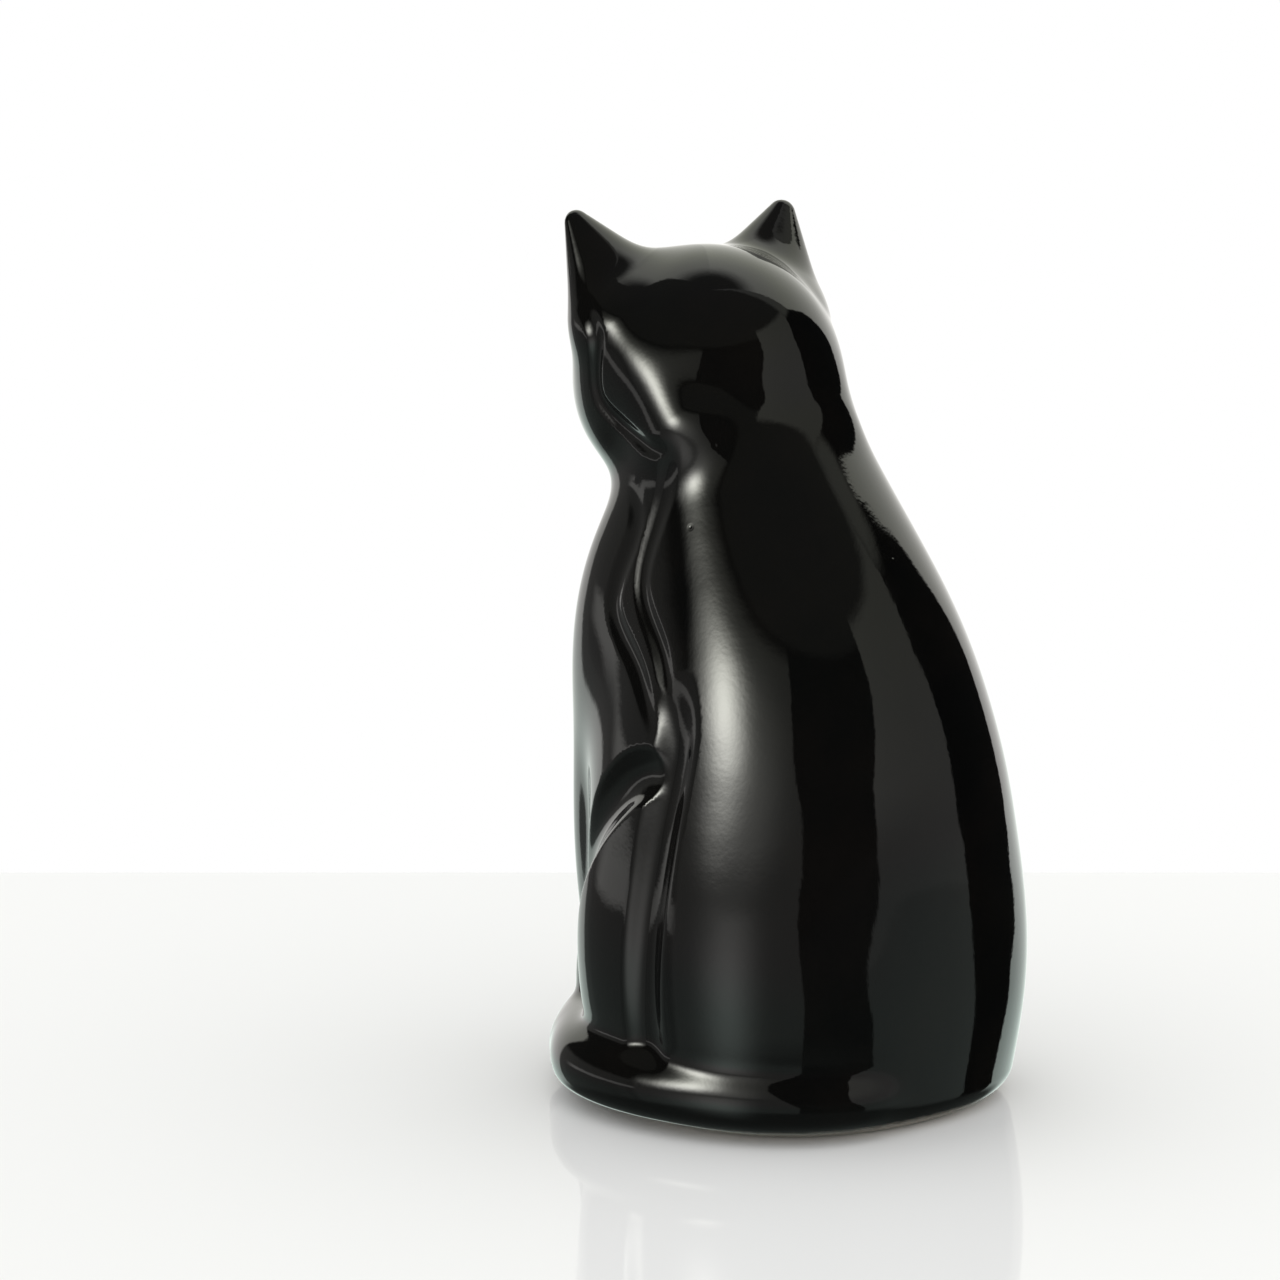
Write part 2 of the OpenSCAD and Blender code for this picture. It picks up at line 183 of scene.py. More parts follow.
def fold_d(q, fold, w):
    r2, deep = near_curve(q, *fold)
    return np.maximum(deep, 0) * np.maximum(0, 1 - r2 / (w * w)) ** 2


EAR_A = np.array([21.5, -2, 16])
EAR_B = np.array([35.5, -9.5, 45.5])
EAR_L = float(np.linalg.norm(EAR_B - EAR_A))
EAR_Z = (EAR_B - EAR_A) / EAR_L
EAR_BACK = np.array([-0.35, 1, 0])
EAR_Y = EAR_BACK - EAR_Z * (EAR_BACK @ EAR_Z)
EAR_Y /= np.linalg.norm(EAR_Y)
EAR_X = np.cross(EAR_Y, EAR_Z)
EAR_R0, EAR_R1 = 21, 4.3
EAR_S = (EAR_R0 - EAR_R1) / EAR_L
EAR_K = math.sqrt(1 - EAR_S * EAR_S)


def ear_d(q):
    d = off(q, EAR_A)
    x, y, z = [d[0] * e[0] + d[1] * e[1] + d[2] * e[2] for e in (EAR_X, EAR_Y, EAR_Z)]
    r = np.sqrt(x * x + (y * 1.35) ** 2)
    k = r * -EAR_S + z * EAR_K
    side = r * EAR_K + z * EAR_S - EAR_R0
    upper = np.where(k > EAR_K * EAR_L, np.hypot(r, z - EAR_L) - EAR_R1, side)
    c = np.where(k < 0, np.hypot(r, z) - EAR_R0, upper) / 1.15
    return smax(c, -egg((x, y, z), (0, -17.5, 10), (10, 9, 14)), 6)


def roll(q, a, b, r):
    t, r2 = along(q, np.array(a), np.array(b))
    return np.sqrt(r2) - r


def skull_d(q):
    h = egg(q, (0, 4, 0), (40, 43, 38))
    for s in (1, -1):
        g = (s * q[0], q[1], q[2])
        h = smin(h, egg(g, (19, -3, -11), (16, 20, 18)), 12)
        h = smin(h, egg(g, (28, 3, -5), (12, 15, 20)), 7)
        h = smin(h, roll(g, (24.5, 7.5, 12), (16.5, 29.5, -16), 17 if s > 0 else 14.5), 6)
    h = smin(h, egg(q, (0, -28, -8), (15, 15, 10)), 12)
    h = smin(h, egg(q, (0, -31, -15), (11, 11, 8)), 8)
    h = smin(h, egg(turn_x(off(q, (0, -35, 4)), 38), (0, 0, 0), (6, 12, 7)), 10)
    h = smin(h, egg(q, (0, -41, -3), (4.6, 4.2, 3.4)), 3)
    for s in (1, -1):
        g = (s * q[0], q[1], q[2])
        h = smin(h, egg(g, (6.5, -36, -9.5), (8.5, 8.5, 6.5)), 4)
        h = smax(h, -egg(turn_z(off(g, (17.5, -44, 6.5)), -24), (0, 0, 0), (13, 8.5, 9)), 9)
        h = smin(h, egg(turn_z(off(g, (17, -29.4, 6.5)), -24), (0, 0, 0), (9, 5.5, 6)), 4)
    return h


def head_d(q):
    h = skull_d(q)
    for s in (1, -1):
        h = smin(h, ear_d((s * q[0], q[1], q[2])), 12)
    return h


def to_head(q):
    return turn_x(turn_z(off(q, HEAD_C), HEAD_TURN), HEAD_TILT)


def only(f, q, m, fn):
    """apply fn to the points in m alone"""
    if m.any():
        f[m] = fn(f[m], tuple(c[m] for c in q))
    return f


def folds(q, lines):
    """how deep the folds go, to the fourth power, so that they join without a ridge"""
    cut = np.zeros_like(q[0])
    for fold, w in lines:
        lo, hi = fold[0][:, :3].min(0) - w, fold[0][:, :3].max(0) + w
        m = np.all([(c > a) & (c < b) for c, a, b in zip(q, lo, hi)], axis=0)
        cut = only(cut, q, m, lambda v, p: v + fold_d(p, fold, w) ** 4)
    return cut


def on_face(x, z):
    """the depth of the face's surface at x and z in the head's frame"""
    x, z = np.atleast_1d(x).astype(np.float32), np.atleast_1d(z).astype(np.float32)
    y = np.arange(-60, -15, 0.25, dtype=np.float32)
    grid = np.broadcast_arrays(x[:, None], y[None], z[:, None])
    v = skull_d(tuple(c.ravel() for c in grid)).reshape(len(x), -1)
    return y[np.argmax(v < 0, axis=1)]


def face_line(xz, depth, w):
    xz = np.asarray(xz, float)
    return curve(np.column_stack([xz[:, 0], on_face(xz[:, 0], xz[:, 1]), xz[:, 1], depth])), w


# the lids round each eye, the mouth and the line under the nose: fine folds of the face, left side
T9 = np.linspace(-1, 1, 9)
EYE_X = 17 + 10.5 * T9
FACE_LINES = [
    face_line(np.column_stack([EYE_X, 6.2 + 1.8 * T9 + 5.6 * (1 - T9 ** 2) ** 0.8]), np.full(9, 1.3), 2.4),
    face_line(np.column_stack([EYE_X, 6.2 + 1.8 * T9 - 4.6 * (1 - T9 ** 2)]), np.full(9, 1.1), 2.2),
    face_line([(0, -5.6), (0, -8), (0, -11)], [1.0, 1.1, 1.2], 2.2),
    face_line([(0, -11), (2.5, -13.6), (6, -15), (10, -14.2), (13, -11.5), (14.5, -8.5)],
              [1.2, 1.3, 1.3, 1.2, 0.8, 0], 2.4),
]


def face_folds(q):
    return folds((np.abs(q[0]), q[1], q[2]), FACE_LINES)


def body_d(q):
    x, y, z = q
    yb, yf, b = spl(BACK, z), spl(FRONT, z), spl(SIDE, z)
    a = (yb - yf) / 2
    rho = (np.abs(x / b) ** TRUNK_POWER + np.abs((y - (yb + yf) / 2) / a) ** TRUNK_POWER) ** (1 / TRUNK_POWER)
    f = smax((rho - 1) * np.minimum(a, b) * 0.93, z - TRUNK_TOP, 40)
    f = smin(f, egg(q, (0, -42, 6), (30, 21, 14)), 10)
    for s in (1, -1):
        g = (s * x, y, z)
        f = smin(f, egg(g, (30, 10, 42), (33, 49, 54)), 24)
        f = smin(f, egg(turn_x(off(g, (47.5, -8.5, 46)), 6), (0, 0, 0), (16.5, 22, 46)), 10)
        f = smin(f, egg(g, (38, -30, 9), (15, 28, 12)), 8)
        f = smin(f, egg(g, (27, -31, 135), (18, 26, 46)), 14)
        f = smin(f, egg(g, (22, -46, 85), (16, 17, 70)), 14)
        f = smin(f, egg(g, (21, -49, 28), (14, 15, 26)), 9)
        f = smin(f, egg(g, (17, -50, 11), (13, 17, 13)), 9)
    f = only(f, q, z > 150, lambda v, p: smin(v, head_d(to_head(p)), 16))
    cut = folds((np.abs(x), y, z), FOLD_LINES)
    cut = only(cut, q, (z > 190) & (y < -50), lambda v, p: v + face_folds(to_head(p)))
    return f + cut ** 0.25


def field(q):
    f = only(body_d(q), q, q[2] < 40, lambda v, p: smin(v, tail_d(p), 6))
    return round_edge(f, 0.6 - q[2], 8.0)


def at(P):
    return field((P[:, 0].astype(np.float32), P[:, 1].astype(np.float32), P[:, 2].astype(np.float32)))


def slope(P, e=0.2):
    G = np.zeros_like(P)
    for i in range(3):
        d = np.zeros(3)
        d[i] = e
        G[:, i] = (at(P + d) - at(P - d)) / (2 * e)
    return G


def settle(P, times):
    for _ in range(times):
        G = slope(P)
        P = P - G * (at(P) / ((G * G).sum(1) + 1e-6))[:, None]
    return P


def halve(P, Q):
    """split every quad in four"""
    n = len(P)
    E = np.sort(np.stack([Q, np.roll(Q, -1, 1)], 2).reshape(-1, 2), 1)
    U, inv = np.unique(E, axis=0, return_inverse=True)
    inv = inv.reshape(len(Q), 4) + n
    mids = P[U].mean(1)
    ctr = P[Q].mean(1)
    c = n + len(U) + np.arange(len(Q))
    out = np.concatenate([np.stack([Q[:, k], inv[:, k], c, inv[:, (k + 3) % 4]], 1) for k in range(4)])
    return np.vstack([P, mids, ctr]), out


def relax(P, Q, times, amount=0.5):
    E = np.unique(np.sort(np.stack([Q, np.roll(Q, -1, 1)], 2).reshape(-1, 2), 1), axis=0)
    cnt = np.bincount(E.ravel(), minlength=len(P)).astype(float)[:, None]
    for _ in range(times):
        S = np.zeros_like(P)
        for k in range(3):
            S[:, k] = (np.bincount(E[:, 0], P[E[:, 1], k], len(P))
                       + np.bincount(E[:, 1], P[E[:, 0], k], len(P)))
        P = P + amount * (S / cnt - P)
    return P


SHIFT = np.array([-2.7, 6.1, 0])       # from the body's own axis to the middle of the figure's outline


def skin(step):
    lo = np.array([-80., -96, -5])
    hi = np.array([84., 86, 276])
    n = np.ceil((hi - lo) / step).astype(int) + 1
    ax = [(lo[i] + step * np.arange(n[i])).astype(np.float32) for i in range(3)]
    X, Y, Z = np.meshgrid(*ax, indexing="ij")
    F = field((X.ravel(), Y.ravel(), Z.ravel())).reshape(X.shape).astype(np.float32)
    g = openvdb.FloatGrid(FAR)
    g.copyFromArray(F)
    P, Q = g.convertToQuads(isovalue=0.0)
    P = lo + np.asarray(P, float) * step
    Q = np.asarray(Q, int)
    P = settle(P, 1)
    P, Q = halve(P, Q)
    P = relax(P, Q, 3)
    P = settle(P, 2)
    G = slope(P, 0.1)
    return P + SHIFT, Q, G / np.linalg.norm(G, axis=1)[:, None]


def cols(P):
    return tuple((P - SHIFT).astype(np.float32).T)


SNAP = 0.06            # a point nearer a cut than this counts as on it, to avoid slivers


def split(P, faces, s):
    """cut polygons along s = 0; gives the points and the two lists, s > 0 first"""
    s = np.where(np.abs(s) < SNAP, 0.0, s)
    P, new, cut = list(P), {}, ([], [])
    for f in faces:
        v = s[f]
        if not (v > 0).any():
            cut[1 if (v < 0).any() else 0].append(f)
        elif not (v < 0).any():
            cut[0].append(f)
        else:
            halves = ([], [])
            for i, a in enumerate(f):
                b = f[(i + 1) % len(f)]
                if s[a] >= 0:
                    halves[0].append(a)
                if s[a] <= 0:
                    halves[1].append(a)
                if s[a] * s[b] < 0:
                    k = (min(a, b), max(a, b))
                    if k not in new:
                        new[k] = len(P)
                        P.append(P[a] + (P[b] - P[a]) * (s[a] / (s[a] - s[b])))
                    halves[0].append(new[k])
                    halves[1].append(new[k])
            for h, c in zip(halves, cut):
                if len(h) > 2:
                    c.append(h)
    return np.array(P), cut[0], cut[1]


def islands(faces):
    """join faces that share an edge; the biggest group comes first"""
    edge, root = {}, list(range(len(faces)))

    def top(i):
        while root[i] != i:
            root[i] = root[root[i]]
            i = root[i]
        return i
    for i, f in enumerate(faces):
        for a, b in zip(f, f[1:] + f[:1]):
            k = (min(a, b), max(a, b))
            if k in edge:
                root[top(i)] = top(edge[k])
            edge[k] = i
    out = {}
    for i in range(len(faces)):
        out.setdefault(top(i), []).append(faces[i])
    return sorted(out.values(), key=len, reverse=True)


def rims(faces):
    """the open borders, each a loop of points in the faces' own direction"""
    half = {}
    for f in faces:
        for a, b in zip(f, f[1:] + f[:1]):
            half[(a, b)] = True
    step = {a: b for a, b in half if (b, a) not in half}
    out = []
    while step:
        a, b = step.popitem()
        loop = [a]
        while b != loop[0]:
            loop.append(b)
            b = step.pop(b)
        out.append(loop)
    return sorted(out, key=len, reverse=True)


def nearest(pts, spine):
    """for a closed loop of points, the spine point each one goes to, never stepping back and forth"""
    near = np.array([int(np.argmin(((spine - p) ** 2).sum(1))) for p in pts])
    lo = int(np.argmin(near))
    near = np.roll(near, -lo)
    hi = int(np.argmax(near))
    near[:hi + 1] = np.maximum.accumulate(near[:hi + 1])
    near[hi:] = np.minimum.accumulate(near[hi:])
    return np.roll(near, lo)


def link(ob):
    bpy.context.scene.collection.objects.link(ob)
    return ob


def mesh_object(name, P, Q, N=None):
    """a smooth mesh of the points that its faces use; N gives the normals of the glazed surface"""
    used = np.unique(np.concatenate([np.ravel(f) for f in Q]))
    where = np.full(len(P), -1)
    where[used] = np.arange(len(used))
    me = bpy.data.meshes.new(name)
    me.from_pydata((P[used] * MM).tolist(), [], [[int(where[v]) for v in f] for f in Q])
    me.polygons.foreach_set("use_smooth", [True] * len(me.polygons))
    me.update()
    if N is not None:
        n, skin_faces = N
        ls = np.zeros((len(me.loops), 3))
        n = n[used]
        i = 0
        for k, p in enumerate(me.polygons):
            for v in p.vertices:
                ls[i] = n[v] if k < skin_faces else p.normal
                i += 1
        me.normals_split_custom_set(ls.tolist())
    return link(bpy.data.objects.new(name, me))


# ---------------------------------------------------------------- materials
def new_mat(name):
    m = bpy.data.materials.new(name)
    m.use_nodes = True
    nt = m.node_tree
    for n in list(nt.nodes):
        nt.nodes.remove(n)
    out = nt.nodes.new("ShaderNodeOutputMaterial")
    b = nt.nodes.new("ShaderNodeBsdfPrincipled")
    nt.links.new(b.outputs[0], out.inputs[0])
    return m, nt, b


def node(nt, kind, **kw):
    n = nt.nodes.new("ShaderNode" + kind)
    for k, v in kw.items():
        if k.startswith("in_"):
            n.inputs[int(k[3:]) if k[3:].isdigit() else k[3:].replace("_", " ")].default_value = v
        else:
            setattr(n, k, v)
    return n


def ramp(nt, fac, stops, interp="LINEAR"):
    r = nt.nodes.new("ShaderNodeValToRGB")
    r.color_ramp.interpolation = interp
    while len(r.color_ramp.elements) < len(stops):
        r.color_ramp.elements.new(0.5)
    for e, (p, c) in zip(r.color_ramp.elements, stops):
        e.position = p
        e.color = (c, c, c, 1) if not isinstance(c, tuple) else (*c, 1)
    nt.links.new(fac, r.inputs[0])
    return r


def bump(nt, height, dist, normal=None):
    n = node(nt, "Bump", in_Strength=1.0, in_Distance=dist)
    nt.links.new(height, n.inputs["Height"])
    if normal is not None:
        nt.links.new(normal, n.inputs["Normal"])
    return n.outputs[0]


def noise(nt, vec, scale, detail=2.0, rough=0.5):
    n = node(nt, "TexNoise", in_Scale=scale, in_Detail=detail, in_Roughness=rough)
    nt.links.new(vec, n.inputs["Vector"])
    return n.outputs[0]


def mixed(nt, fac, a, b):
    """colours or numbers a and b, mixed by fac"""
    n = nt.nodes.new("ShaderNodeMix")
    n.data_type = "RGBA"
    nt.links.new(fac, n.inputs[0])
    for i, v in ((6, a), (7, b)):
        if isinstance(v, tuple):
            n.inputs[i].default_value = (*v, 1)
        elif isinstance(v, float):
            n.inputs[i].default_value = (v, v, v, 1)
        else:
            nt.links.new(v, n.inputs[i])
    return n.outputs[2]


def glaze():
    """glossy black glaze over pale clay; the last millimetre above the foot is wiped clean before firing"""
    m, nt, b = new_mat("black_glaze")
    L = nt.links.new
    co = node(nt, "TexCoord").outputs["Object"]
    sep = node(nt, "SeparateXYZ")
    L(co, sep.inputs[0])
    ragged = node(nt, "Math", operation="MULTIPLY_ADD", in_1=0.0011, in_2=0.0)
    L(noise(nt, co, 330.0, 3.0), ragged.inputs[0])
    edge_z = node(nt, "Math", operation="SUBTRACT")
    L(sep.outputs[2], edge_z.inputs[0])
    L(ragged.outputs[0], edge_z.inputs[1])
    bare = ramp(nt, edge_z.outputs[0], [(0.00045, 1.0), (0.00075, 0.0)])
    # colour: near black, a little browner where the glaze is thin over the clay
    black = ramp(nt, noise(nt, co, 38.0, 3.0), [(0.35, (0.0014, 0.0015, 0.0015)),
                                                (0.7, (0.0028, 0.0024, 0.0021))])
    clay = ramp(nt, noise(nt, co, 900.0, 4.0), [(0.3, (0.42, 0.37, 0.31)), (0.7, (0.62, 0.57, 0.50))])
    L(mixed(nt, bare.outputs[0], black.outputs[0], clay.outputs[0]), b.inputs["Base Color"])
    # roughness: mirror gloss with faint cloudy patches, matt on the bare clay
    gloss = ramp(nt, noise(nt, co, 120.0), [(0.35, 0.022), (0.75, 0.06)])
    L(mixed(nt, bare.outputs[0], gloss.outputs[0], 0.85), b.inputs["Roughness"])
    b.inputs["IOR"].default_value = 1.52
    # relief: slow waves of the casting, orange peel of the glaze, and rare pinholes
    w1 = bump(nt, noise(nt, co, 21.0, 0.0), 0.00022)
    w2 = bump(nt, noise(nt, co, 62.0, 1.0), 0.00009, w1)
    peel = bump(nt, noise(nt, co, 640.0, 1.5), 0.000011, w2)
    v = node(nt, "TexVoronoi", in_Scale=31.0)
    L(co, v.inputs["Vector"])
    pit = ramp(nt, v.outputs["Distance"], [(0.0, 0.0), (0.022, 0.7), (0.045, 1.0)], "EASE")
    L(bump(nt, pit.outputs[0], 0.00007, peel), b.inputs["Normal"])
    return m


def bisque():
    """unglazed fired clay: fine sandy grain, sponge marks, a few iron specks and a little shelf dust"""
    m, nt, b = new_mat("bisque_clay")
    L = nt.links.new
    co = node(nt, "TexCoord").outputs["Object"]
    base = ramp(nt, noise(nt, co, 60.0, 5.0, 0.6), [(0.3, (0.50, 0.44, 0.37)), (0.55, (0.60, 0.55, 0.48)),
                                                     (0.75, (0.66, 0.62, 0.56))])
    v = node(nt, "TexVoronoi", in_Scale=520.0)
    L(co, v.inputs["Vector"])
    speck = ramp(nt, v.outputs["Distance"], [(0.10, 1.0), (0.16, 0.0)])
    rare = ramp(nt, noise(nt, co, 260.0, 1.0), [(0.60, 0.0), (0.66, 1.0)])
    marks = node(nt, "Math", operation="MULTIPLY")
    L(speck.outputs[0], marks.inputs[0])
    L(rare.outputs[0], marks.inputs[1])
    L(mixed(nt, marks.outputs[0], base.outputs[0], (0.16, 0.10, 0.07)), b.inputs["Base Color"])
    r = ramp(nt, noise(nt, co, 180.0, 3.0), [(0.3, 0.78), (0.7, 0.93)])
    L(r.outputs[0], b.inputs["Roughness"])
    b.inputs["IOR"].default_value = 1.45
    wipe = node(nt, "Mapping")
    wipe.inputs["Scale"].default_value = (1.0, 7.0, 1.0)
    wipe.inputs["Rotation"].default_value = (0, 0, 0.5)
    L(co, wipe.inputs[0])
    g1 = bump(nt, noise(nt, wipe.outputs[0], 90.0, 4.0), 0.00018)
    L(bump(nt, noise(nt, co, 1500.0, 3.0, 0.7), 0.00006, g1), b.inputs["Normal"])
    return m


def rubber():
    """moulded black rubber: satin, turned rings on its face, dusty bloom in patches"""
    m, nt, b = new_mat("stopper_rubber")
    L = nt.links.new
    co = node(nt, "TexCoord").outputs["Object"]
    c = ramp(nt, noise(nt, co, 95.0, 4.0, 0.6), [(0.35, (0.018, 0.018, 0.020)), (0.6, (0.030, 0.030, 0.031)),
                                                 (0.8, (0.060, 0.058, 0.055))])
    L(c.outputs[0], b.inputs["Base Color"])
    r = ramp(nt, noise(nt, co, 220.0, 2.0), [(0.3, 0.42), (0.75, 0.66)])
    L(r.outputs[0], b.inputs["Roughness"])
    lo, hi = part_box("stopper")
    shift = node(nt, "Mapping")
    shift.inputs["Location"].default_value = (-(lo[0] + hi[0]) / 2, -(lo[1] + hi[1]) / 2, 0)
    L(co, shift.inputs[0])
    wave = node(nt, "TexWave", wave_type="RINGS", rings_direction="Z", in_Scale=330.0, in_Distortion=0.15)
    L(shift.outputs[0], wave.inputs[0])
    g = bump(nt, wave.outputs[1], 0.00003)
    L(bump(nt, noise(nt, co, 2200.0, 2.0), 0.00002, g), b.inputs["Normal"])
    return m


def felt():
    """pressed grey-black felt: matted fibres running every way, lighter flecks, soft sheen"""
    m, nt, b = new_mat("pad_felt")
    L = nt.links.new
    co = node(nt, "TexCoord").outputs["Object"]
    st = node(nt, "Mapping")
    st.inputs["Scale"].default_value = (1.0, 0.22, 1.0)
    st.inputs["Rotation"].default_value = (0, 0, 0.9)
    L(co, st.inputs[0])
    st2 = node(nt, "Mapping")
    st2.inputs["Scale"].default_value = (0.22, 1.0, 1.0)
    st2.inputs["Rotation"].default_value = (0, 0, -0.4)
    L(co, st2.inputs[0])
    f1, f2 = noise(nt, st.outputs[0], 2600.0, 5.0, 0.7), noise(nt, st2.outputs[0], 2600.0, 5.0, 0.7)
    add = node(nt, "Math", operation="ADD")
    L(f1, add.inputs[0])
    L(f2, add.inputs[1])
    half = node(nt, "Math", operation="MULTIPLY", in_1=0.5)
    L(add.outputs[0], half.inputs[0])
    c = ramp(nt, half.outputs[0], [(0.38, (0.022, 0.022, 0.024)), (0.52, (0.055, 0.055, 0.058)),
                                   (0.66, (0.16, 0.16, 0.165))])
    L(c.outputs[0], b.inputs["Base Color"])
    r = ramp(nt, half.outputs[0], [(0.4, 0.86), (0.6, 0.98)])
    L(r.outputs[0], b.inputs["Roughness"])
    b.inputs["Sheen Weight"].default_value = 0.35
    b.inputs["Sheen Roughness"].default_value = 0.6
    L(bump(nt, half.outputs[0], 0.0003), b.inputs["Normal"])
    return m


# ---------------------------------------------------------------- pieces
P, Q, _ = skin(2.0)
faces = Q.tolist()

# head and ears part from the body at the neck joint, the ears from the head where they are luted on
NECK_Z = 192.0
P, head_f, body_f = split(P, faces, P[:, 2] - NECK_Z)
ears = {}
for side, s in (("ear_left", 1), ("ear_right", -1)):
    h = to_head(cols(P))
    d = skull_d(h) - ear_d((s * h[0], h[1], h[2]))
    d = np.where(s * h[0] > 2, d, -FAR)
    P, ear_f, rest = split(P, head_f, d)
    found = islands(ear_f)
    ears[side] = found[0]
    head_f = rest + [f for g in found[1:] for f in g]
# the tail parts from the body along its whole length
TAIL_TOP = 34
c = cols(P)
low = c[2] < TAIL_TOP
to_tail = only(np.full(len(P), FAR, np.float32), c, low, lambda v, p: tail_d(p))
P, tail_f, body_f = split(P, body_f, np.where(low, body_d(c) - to_tail, -FAR))
found = islands(tail_f)
tail_f = found[0]
body_f = body_f + [f for g in found[1:] for f in g]


# the base slab sits in a recess of the body, inside the unglazed foot ring
SEAT_Y = 6             # middle of the slab
SEAT_Z = 6.6           # height at which the slab's outline follows the body's
SEAT_INSET = 11.5      # from the body's surface to the slab's edge
SEAT_FRONT = 37        # the slab ends here towards the front
SEAT_DEPTH = 6.25      # depth of the recess
SEAT_PLAY = 0.12       # gap between slab and body
FOOT_TOP = 1.0         # only faces below this belong to the foot


def seat_radius(ang):
    """how far the slab reaches from its middle in each direction"""
    lo, hi = np.full(len(ang), 5.0), np.full(len(ang), 100.0)
    for _ in range(24):
        r = (lo + hi) / 2
        q = (r * np.cos(ang), SEAT_Y + r * np.sin(ang), np.full(len(ang), SEAT_Z))
        inside = body_d(tuple(k.astype(np.float32) for k in q)) < -SEAT_INSET
        lo, hi = np.where(inside, r, lo), np.where(inside, hi, r)
    return np.minimum(lo, SEAT_FRONT / np.maximum(-np.sin(ang), 1e-6))


SEAT_ANGLES = np.linspace(-math.pi, math.pi, 721)
SEAT = seat_radius(SEAT_ANGLES)


def seat_gap(P):
    x, y = P[:, 0] - SHIFT[0], P[:, 1] - SHIFT[1] - SEAT_Y
    d = np.hypot(x, y) - np.interp(np.arctan2(y, x), SEAT_ANGLES, SEAT) - SEAT_PLAY
    return np.where(P[:, 2] < FOOT_TOP, d, FAR)


P, body_f, _ = split(P, body_f, seat_gap(P))
G = slope(P - SHIFT, 0.1)
G /= np.linalg.norm(G, axis=1)[:, None] + 1e-9


def rim_middle(faces, sink=0.0):
    """the middle of the longest open border, moved by sink in height"""
    return P[rims(faces)[0]].mean(0) + np.array([0, 0, sink])


def casting(name, faces, targets, deep=None):
    """one casting: its glazed faces with their true normals, and a hidden face at each place where it is
    luted on. Each border closes on its own target, a point or a line of points inside."""
    p, f = P, list(faces)
    for loop in rims(faces):
        mid, n, m = P[loop].mean(0), len(p), len(loop)
        if deep is not None and mid[2] < FOOT_TOP:
            # the slab's recess: a wall up, then its ceiling
            up = p[loop] + np.array([0, 0, deep])
            p = np.vstack([p, up, up.mean(0)])
            for i in range(m):
                j = (i + 1) % m
                f.append([loop[j], loop[i], n + i, n + j])
                f.append([n + j, n + i, n + m])
            continue
        line = np.atleast_2d(min(targets, key=lambda t: np.linalg.norm(np.atleast_2d(t).mean(0) - mid)))
        p = np.vstack([p, line])
        near = nearest(P[loop], line)
        for i in range(m):
            j = (i + 1) % m
            ja, jb = int(near[i]), int(near[j])
            way = range(ja, jb + 1) if jb >= ja else range(ja, jb - 1, -1)
            f.append([loop[j], loop[i]] + [n + k for k in way])
    n = np.vstack([G, np.zeros((len(p) - len(P), 3))])
    return mesh_object(name, p, f, (n, len(faces)))


spine = catmull(np.array(TAIL, float), 12) + SHIFT
neck = rim_middle(head_f)
roots = [rim_middle(ears["ear_left"], -2), rim_middle(ears["ear_right"], -2)]
body = casting("body_casting", body_f, [neck, spine], deep=SEAT_DEPTH)
head = casting("head_casting", head_f, [neck] + roots)
ear_left = casting("ear_left", ears["ear_left"], [roots[0]])
ear_right = casting("ear_right", ears["ear_right"], [roots[1]])
tail = casting("tail_roll", tail_f, [spine])
coat_mat = glaze()
for ob, nd, sl in ((body, "torso_shell", "glaze_body"), (head, "head_shell", "glaze_head"),
                   (ear_left, "left_ear", "glaze_ears"), (ear_right, "right_ear", "glaze_ears"),
                   (tail, "tail", "glaze_tail")):
    ob.data.materials.append(coat_mat)
    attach(ob, "cat")
    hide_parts(nd)

bisque_mat, rubber_mat, felt_mat = bisque(), rubber(), felt()
for nd, mt in (("base_slab", bisque_mat), ("stopper", rubber_mat)):
    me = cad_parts[nd].data
    me.materials.clear()
    me.materials.append(mt)


def felt_disc(name, nd, seed):
    """a punched felt disc: soft pressed edge, a slightly uneven outline, fibres lifting at the rim"""
    lo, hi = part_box(nd)
    lo, hi = np.array(lo) / MM, np.array(hi) / MM
    ctr, r, h = (lo + hi) / 2, (hi[0] - lo[0]) / 2, hi[2] - lo[2]
    rng = np.random.default_rng(seed)
    n = 96
    ang = np.arange(n) * 2 * math.pi / n
    wob = sum(rng.uniform(-1, 1) * np.cos(k * ang + rng.uniform(0, 6)) for k in (3, 5, 9, 14, 23)) * 0.02
    # the disc's section from the middle of its underside to the middle of its top: share of radius, of height
    prof = [(0.0, 0.0), (0.35, 0.0), (0.65, 0.0), (0.85, 0.0), (0.93, 0.02), (0.975, 0.09), (0.995, 0.22),
            (0.985, 0.5), (0.99, 0.78), (0.97, 0.92), (0.92, 1.0), (0.6, 1.0), (0.0, 1.0)]
    pts = [[ctr[0], ctr[1], lo[2]]]
    for k, (a, t) in enumerate(prof[1:-1]):
        fuzz = rng.uniform(-0.05, 0.0, n) if 4 <= k <= 9 else 0.0
        rr = a * r + (wob - 0.05 + fuzz) * a * a
        z = lo[2] + t * h + (rng.uniform(0, 0.03, n) if 0 < t < 1 else 0)
        ring = [ctr[0] + rr * np.cos(ang), ctr[1] + rr * np.sin(ang), np.broadcast_to(z, n)]
        pts += np.column_stack(ring).tolist()
    pts.append([ctr[0], ctr[1], hi[2]])
    f = [[0, 1 + (i + 1) % n, 1 + i] for i in range(n)]
    for k in range(len(prof) - 3):
        a0, b0 = 1 + k * n, 1 + (k + 1) * n
        f += [[a0 + i, a0 + (i + 1) % n, b0 + (i + 1) % n, b0 + i] for i in range(n)]
    a0 = 1 + (len(prof) - 3) * n
    f += [[a0 + i, a0 + (i + 1) % n, len(pts) - 1] for i in range(n)]
    ob = mesh_object(name, np.array(pts), f)
    ob.data.materials.append(felt_mat)
    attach(ob, "cat")
    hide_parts(nd)


